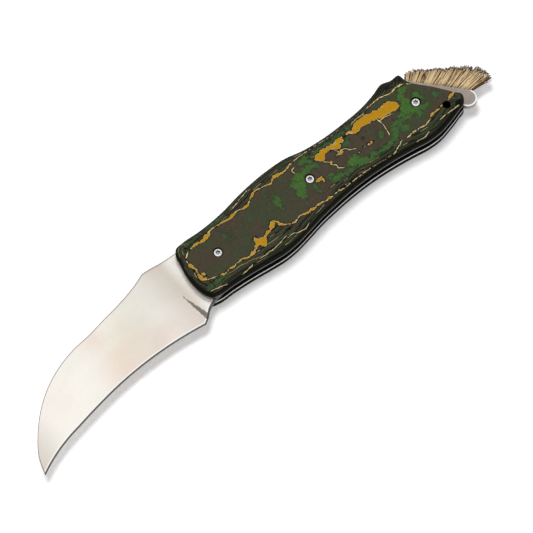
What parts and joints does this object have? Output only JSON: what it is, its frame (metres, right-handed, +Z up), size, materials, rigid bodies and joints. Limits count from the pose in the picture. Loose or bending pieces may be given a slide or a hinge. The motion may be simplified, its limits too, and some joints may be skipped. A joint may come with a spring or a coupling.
{
  "type": "mushroom knife",
  "caption": "Folding mushroom knife with a hooked blade and a fold-away bristle brush in one contoured laminate handle.",
  "frame": {"origin": "centre of the bounding box at its base, with the knife open and lying flat on its lower scale", "axes": "+X along the handle from the blade to the brush, +Y towards the handle's spine, +Z up through the knife's thickness"},
  "size_m": [0.1934, 0.0342, 0.0122],
  "materials": {
    "blade_steel": "fine satin, close to polished",
    "frame_steel": "satin with bright chamfers",
    "screw_steel": "bright",
    "washer_bronze": "plain rolled bronze",
    "laminate": "camouflage laminate, oiled, half matt",
    "bristle": "natural bristle"
  },
  "bodies": {
    "handle": {"upper_scale": "laminate", "lower_scale": "laminate", "upper_liner": "frame_steel", "lower_liner": "frame_steel", "backspring": "frame_steel", "spring_front_pin": "screw_steel", "spring_rear_pin": "screw_steel", "stop_pin": "screw_steel", "pivot_barrel": "screw_steel", "upper_pivot_screw": "screw_steel", "lower_pivot_screw": "screw_steel", "upper_middle_screw": "screw_steel", "lower_middle_screw": "screw_steel", "upper_rear_screw": "screw_steel", "lower_rear_screw": "screw_steel", "upper_pivot_washer": "washer_bronze", "lower_pivot_washer": "washer_bronze", "brush_pin": "screw_steel", "upper_brush_washer": "washer_bronze", "lower_brush_washer": "washer_bronze", "lanyard_tube": "screw_steel"},
    "blade": {"blade": "blade_steel"},
    "brush": {"brush_carrier": "frame_steel", "bristles": "bristle"}
  },
  "joints": [
    {"name": "blade_hinge", "type": "hinge", "parent": "handle", "child": "blade", "pos_m": [-0.00894, 0.00478, 0.0061], "axis": [0, 0, 1], "range_deg": [0, 160.4]},
    {"name": "brush_hinge", "type": "hinge", "parent": "handle", "child": "brush", "pos_m": [0.07347, 0.00678, 0.0061], "axis": [0, 0, 1], "range_deg": [0, 186]}
  ]
}
